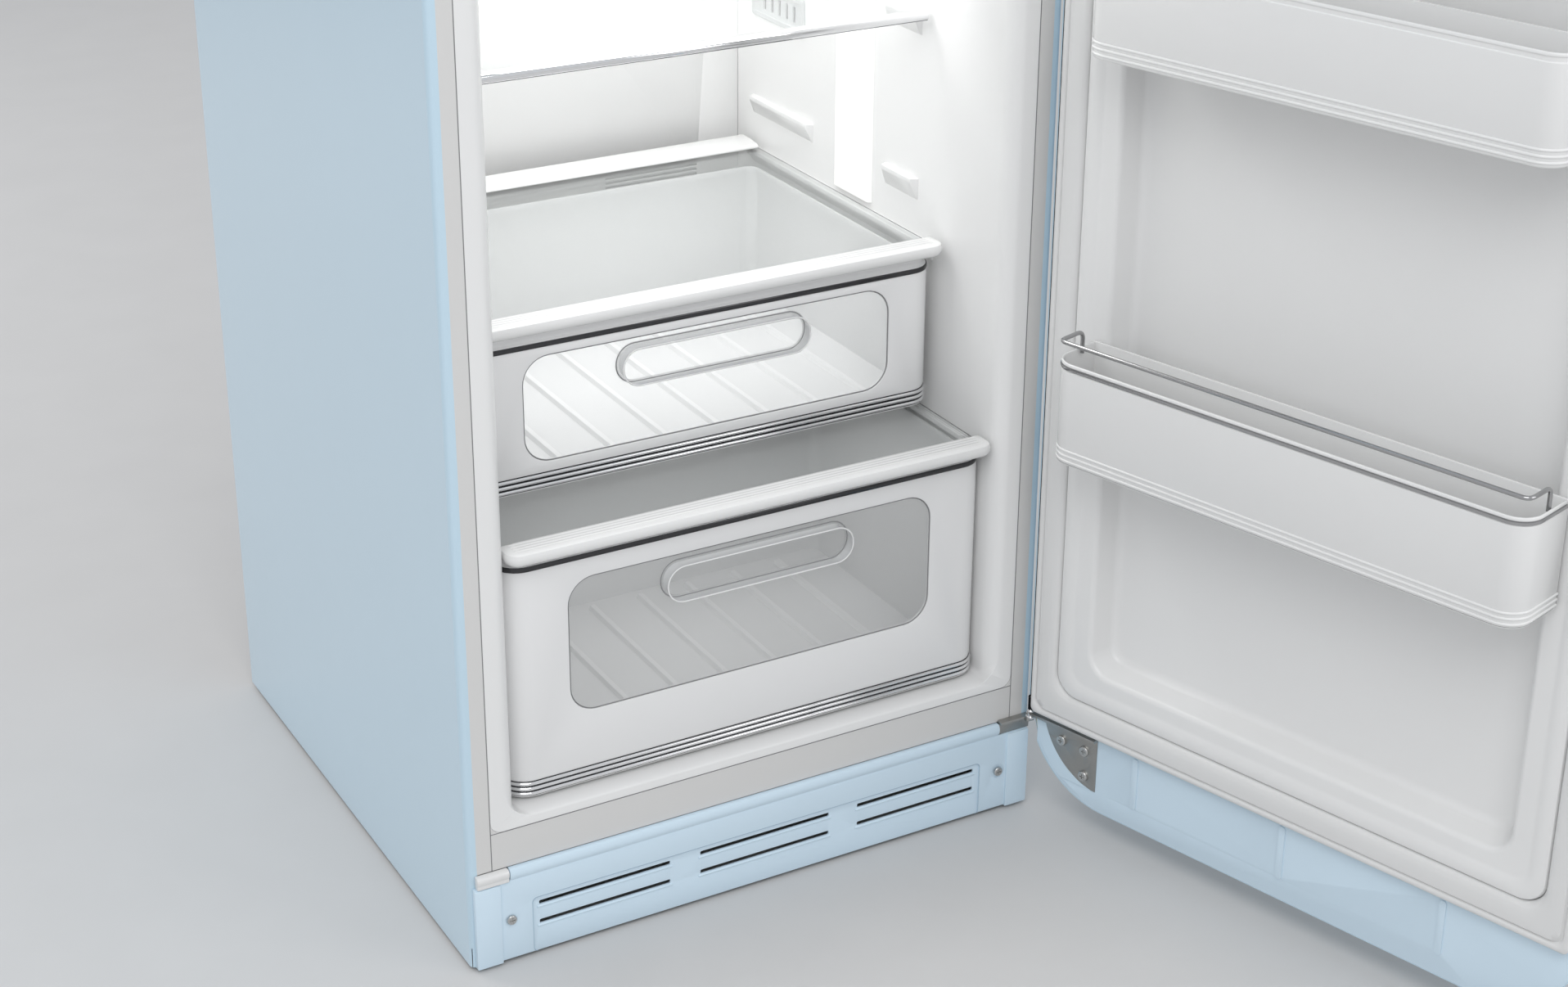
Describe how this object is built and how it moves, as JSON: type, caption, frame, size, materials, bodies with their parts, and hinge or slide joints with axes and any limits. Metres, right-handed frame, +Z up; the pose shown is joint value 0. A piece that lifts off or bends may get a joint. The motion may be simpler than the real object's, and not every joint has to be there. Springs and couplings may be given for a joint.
{
  "type": "top freezer refrigerator",
  "caption": "Free-standing refrigerator with a freezer on top, swinging doors, sliding drawers, glass shelves and door bins.",
  "frame": {"origin": "centre of the cabinet's footprint, on the floor", "axes": "+Z up, -Y out of the front, +X to the right of someone facing the front"},
  "size_m": [0.8607, 1.1828, 1.688],
  "materials": {
    "pastel_paint": "pastel blue gloss enamel",
    "pastel_plastic": "pastel blue moulded",
    "white_frame": "white enamel",
    "white_liner": "white thermoformed",
    "white_trim": "white moulded",
    "foam": "poured foam",
    "zinc_steel": "zinc plated",
    "grey_panel": "light grey sheet",
    "screw_steel": "plated",
    "black_plastic": "moulded",
    "hinge_steel": "satin",
    "bright_metal": "polished",
    "shelf_glass": "tempered",
    "clear_plastic": "clear",
    "light_diffuser": "frosted",
    "grey_plastic": "light grey",
    "fin_aluminium": "mill",
    "coil_black": "black enamel",
    "compressor_black": "black enamel",
    "rubber": "moulded",
    "gasket": "soft grey",
    "rim_black": "moulded"
  },
  "bodies": {
    "cabinet": {"outer_wrap": "pastel_paint", "plinth_grille": "pastel_plastic", "front_frame": "white_frame", "fridge_liner": "white_liner", "freezer_liner": "white_liner", "cabinet_insulation": "foam", "bottom_panel": "zinc_steel", "back_panels": "grey_panel", "base_frame": "zinc_steel", "plinth_screws": "screw_steel", "hinge_blank": "white_trim", "front_feet": "black_plastic", "hinge_brackets": "hinge_steel", "hinge_pins": "bright_metal", "shelf_glasses": "shelf_glass", "drawer_shelf_trims": "white_trim", "shelf_strips": "bright_metal", "light_cover": "light_diffuser", "control_box": "white_trim", "air_covers": "grey_plastic", "evaporator": "fin_aluminium", "condenser": "coil_black", "fan_motors": "zinc_steel", "compressor": "compressor_black", "compressor_mounts": "rubber", "drip_tray": "grey_plastic", "relay_and_inlet": "black_plastic"},
    "fridge_door": {"fridge_door_skin": "pastel_paint", "fridge_door_foam": "foam", "fridge_door_liner": "white_liner", "fridge_door_gasket": "gasket", "fridge_door_rim": "rim_black", "fridge_door_skirt": "pastel_plastic", "door_hinge_plate": "hinge_steel", "hinge_plate_screws": "screw_steel", "fridge_door_handle": "bright_metal"},
    "freezer_door": {"freezer_door_skin": "pastel_paint", "freezer_door_foam": "foam", "freezer_door_liner": "white_liner", "freezer_door_gasket": "gasket", "freezer_door_rim": "rim_black", "freezer_door_handle": "bright_metal"},
    "lower_drawer": {"lower_drawer_front": "white_trim", "lower_drawer_tub": "clear_plastic", "lower_drawer_handle": "clear_plastic", "lower_drawer_strips": "bright_metal"},
    "upper_drawer": {"upper_drawer_front": "white_trim", "upper_drawer_tub": "clear_plastic", "upper_drawer_handle": "clear_plastic", "upper_drawer_strips": "bright_metal"},
    "bottle_bin_body": {"bottle_bin": "white_trim", "bottle_bin_rail": "bright_metal"},
    "middle_bin_body": {"middle_bin": "white_trim"},
    "dairy_bin_body": {"dairy_bin": "white_trim"},
    "dairy_cover_body": {"dairy_cover": "clear_plastic"},
    "knob": {"control_knob": "grey_plastic"},
    "freezer_fan_rotor": {"freezer_fan": "grey_plastic"},
    "condenser_fan_rotor": {"condenser_fan": "black_plastic"},
    "roller_left": {"rear_roller_left": "black_plastic"},
    "roller_right": {"rear_roller_right": "black_plastic"}
  },
  "joints": [
    {"name": "fridge_door_swing", "type": "hinge", "parent": "cabinet", "child": "fridge_door", "pos_m": [0.296, -0.31, 0.105], "axis": [0, 0, 1], "range_deg": [-106, 14]},
    {"name": "freezer_door_swing", "type": "hinge", "parent": "cabinet", "child": "freezer_door", "pos_m": [0.296, -0.31, 1.4], "axis": [0, 0, 1], "range_deg": [0, 120]},
    {"name": "lower_drawer_slide", "type": "slide", "parent": "cabinet", "child": "lower_drawer", "axis": [0, -1, 0], "range_m": [0, 0.22]},
    {"name": "upper_drawer_slide", "type": "slide", "parent": "cabinet", "child": "upper_drawer", "axis": [0, -1, 0], "range_m": [0, 0.25]},
    {"name": "bottle_bin_lift", "type": "slide", "parent": "fridge_door", "child": "bottle_bin_body", "axis": [0, 0, 1], "range_m": [0, 0.03]},
    {"name": "middle_bin_lift", "type": "slide", "parent": "fridge_door", "child": "middle_bin_body", "axis": [0, 0, 1], "range_m": [0, 0.03]},
    {"name": "dairy_bin_lift", "type": "slide", "parent": "fridge_door", "child": "dairy_bin_body", "axis": [0, 0, 1], "range_m": [0, 0.02]},
    {"name": "dairy_cover_flap", "type": "hinge", "parent": "dairy_bin_body", "child": "dairy_cover_body", "pos_m": [0.36077, -0.59936, 1.1122], "axis": [-0.2756, 0.9613, 0], "range_deg": [0, 85]},
    {"name": "control_knob_turn", "type": "hinge", "parent": "cabinet", "child": "knob", "pos_m": [0, -0.175, 1.142], "axis": [0, 0, 1], "range_deg": [0, 270]},
    {"name": "freezer_fan_spin", "type": "hinge", "parent": "cabinet", "child": "freezer_fan_rotor", "pos_m": [0, 0.131, 1.54], "axis": [0, 1, 0], "continuous": true},
    {"name": "condenser_fan_spin", "type": "hinge", "parent": "cabinet", "child": "condenser_fan_rotor", "pos_m": [0.12, 0.167, 0.108], "axis": [0, 1, 0], "continuous": true},
    {"name": "roller_left_spin", "type": "hinge", "parent": "cabinet", "child": "roller_left", "pos_m": [-0.2815, 0.262, 0.022], "axis": [1, 0, 0], "continuous": true},
    {"name": "roller_right_spin", "type": "hinge", "parent": "cabinet", "child": "roller_right", "pos_m": [0.2815, 0.262, 0.022], "axis": [1, 0, 0], "continuous": true}
  ]
}
